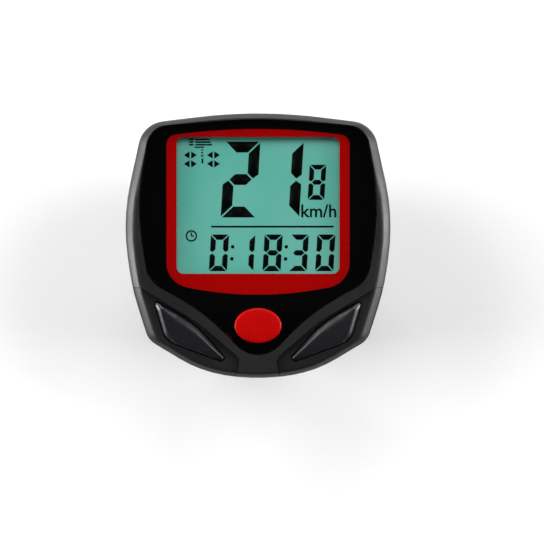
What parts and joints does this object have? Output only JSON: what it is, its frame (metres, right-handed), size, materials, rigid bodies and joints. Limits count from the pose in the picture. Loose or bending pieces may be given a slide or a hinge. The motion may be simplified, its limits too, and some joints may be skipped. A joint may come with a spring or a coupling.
{
  "type": "cycling computer",
  "caption": "Handlebar cycling computer: sealed display head with three keys and a button cell, sliding onto a sprung-contact saddle bracket with a release latch.",
  "frame": {"origin": "under the middle of the display head's outline, on the level of the bar pad's feet", "axes": "+Z out of the display, +Y towards the display's top edge, +X to its right; the handlebar lies along X"},
  "size_m": [0.0532, 0.0532, 0.0285],
  "materials": {
    "shell_black": "fine satin texture",
    "wing_black": "fine satin texture",
    "window_clear": "polished clear",
    "print_black": "gloss print",
    "frame_red": "gloss print",
    "key_black": "satin",
    "key_red": "satin gloss",
    "carbon": "matte",
    "silicone": "matte translucent",
    "lcd_glass": "polished",
    "lcd_film": "satin film",
    "reflector": "satin foil",
    "holder_white": "satin",
    "zebra_pink": "matte",
    "board_green": "solder mask",
    "epoxy_black": "gloss resin",
    "can_steel": "bright can",
    "chip_tan": "ceramic",
    "screw_steel": "bright zinc",
    "contact_gold": "gold flash",
    "cell_steel": "brushed",
    "seal_rubber": "matte",
    "pad_rubber": "ribbed matte",
    "bracket_black": "fine satin texture",
    "spring_steel": "bright wire"
  },
  "bodies": {
    "bracket": {"bracket_body": "bracket_black", "bar_pad": "pad_rubber", "terminal_cap": "seal_rubber", "cable_gland": "seal_rubber", "left_pin_spring": "spring_steel", "right_pin_spring": "spring_steel"},
    "latch": {"release_latch": "bracket_black"},
    "left_contact": {"left_pin": "contact_gold"},
    "right_contact": {"right_pin": "contact_gold"},
    "left_key": {"left_button": "key_black", "left_pill": "carbon"},
    "right_key": {"right_button": "key_black", "right_pill": "carbon"},
    "mode_key": {"mode_button": "key_red", "mode_pill": "carbon"},
    "cover": {"battery_cover": "bracket_black", "cover_seal": "seal_rubber"},
    "head": {"front_case": "shell_black", "left_wing": "wing_black", "right_wing": "wing_black", "lens": "window_clear", "black_film": "print_black", "red_frame": "frame_red", "keypad_mat": "silicone", "lcd_polariser": "lcd_film", "lcd_front_glass": "lcd_glass", "lcd_rear_glass": "lcd_glass", "lcd_reflector": "reflector", "lcd_holder": "holder_white", "zebra_strip": "zebra_pink", "pcb": "board_green", "chip_blob": "epoxy_black", "crystal": "can_steel", "chip_parts": "chip_tan", "pcb_screws": "screw_steel", "positive_contact": "contact_gold", "negative_contact": "contact_gold", "button_cell": "cell_steel", "rear_case": "shell_black", "case_seal": "seal_rubber", "case_screws": "screw_steel", "contact_studs": "contact_gold", "stud_springs": "spring_steel"}
  },
  "joints": [
    {"name": "head_slide", "type": "slide", "parent": "bracket", "child": "head", "axis": [0, -1, 0], "range_m": [0, 0.034], "deforming": ["release_latch"]},
    {"name": "latch_press", "type": "hinge", "parent": "bracket", "child": "latch", "pos_m": [0, -0.008, 0.01087], "axis": [1, 0, 0], "range_deg": [0, 8], "stiffness_Nm_per_rad": 0.8, "springref_deg": -2.86},
    {"name": "left_contact_press", "type": "slide", "parent": "bracket", "child": "left_contact", "axis": [0, 0, -1], "range_m": [0, 0.0006], "stiffness_N_per_m": 400, "springref_m": -0.0005, "deforming": ["left_pin_spring"]},
    {"name": "right_contact_press", "type": "slide", "parent": "bracket", "child": "right_contact", "axis": [0, 0, -1], "range_m": [0, 0.0006], "stiffness_N_per_m": 400, "springref_m": -0.0005, "deforming": ["right_pin_spring"]},
    {"name": "left_key_press", "type": "slide", "parent": "head", "child": "left_key", "axis": [0, 0, -1], "range_m": [0, 0.0008], "stiffness_N_per_m": 1500, "springref_m": -0.0003, "deforming": ["keypad_mat"]},
    {"name": "right_key_press", "type": "slide", "parent": "head", "child": "right_key", "axis": [0, 0, -1], "range_m": [0, 0.0008], "stiffness_N_per_m": 1500, "springref_m": -0.0003, "deforming": ["keypad_mat"]},
    {"name": "mode_key_press", "type": "slide", "parent": "head", "child": "mode_key", "axis": [0, 0, -1], "range_m": [0, 0.0008], "stiffness_N_per_m": 1500, "springref_m": -0.0003, "deforming": ["keypad_mat"]},
    {"name": "cover_turn", "type": "hinge", "parent": "head", "child": "cover", "pos_m": [0, -0.00865, 0.012], "axis": [0, 0, 1], "range_deg": [0, 60]}
  ]
}
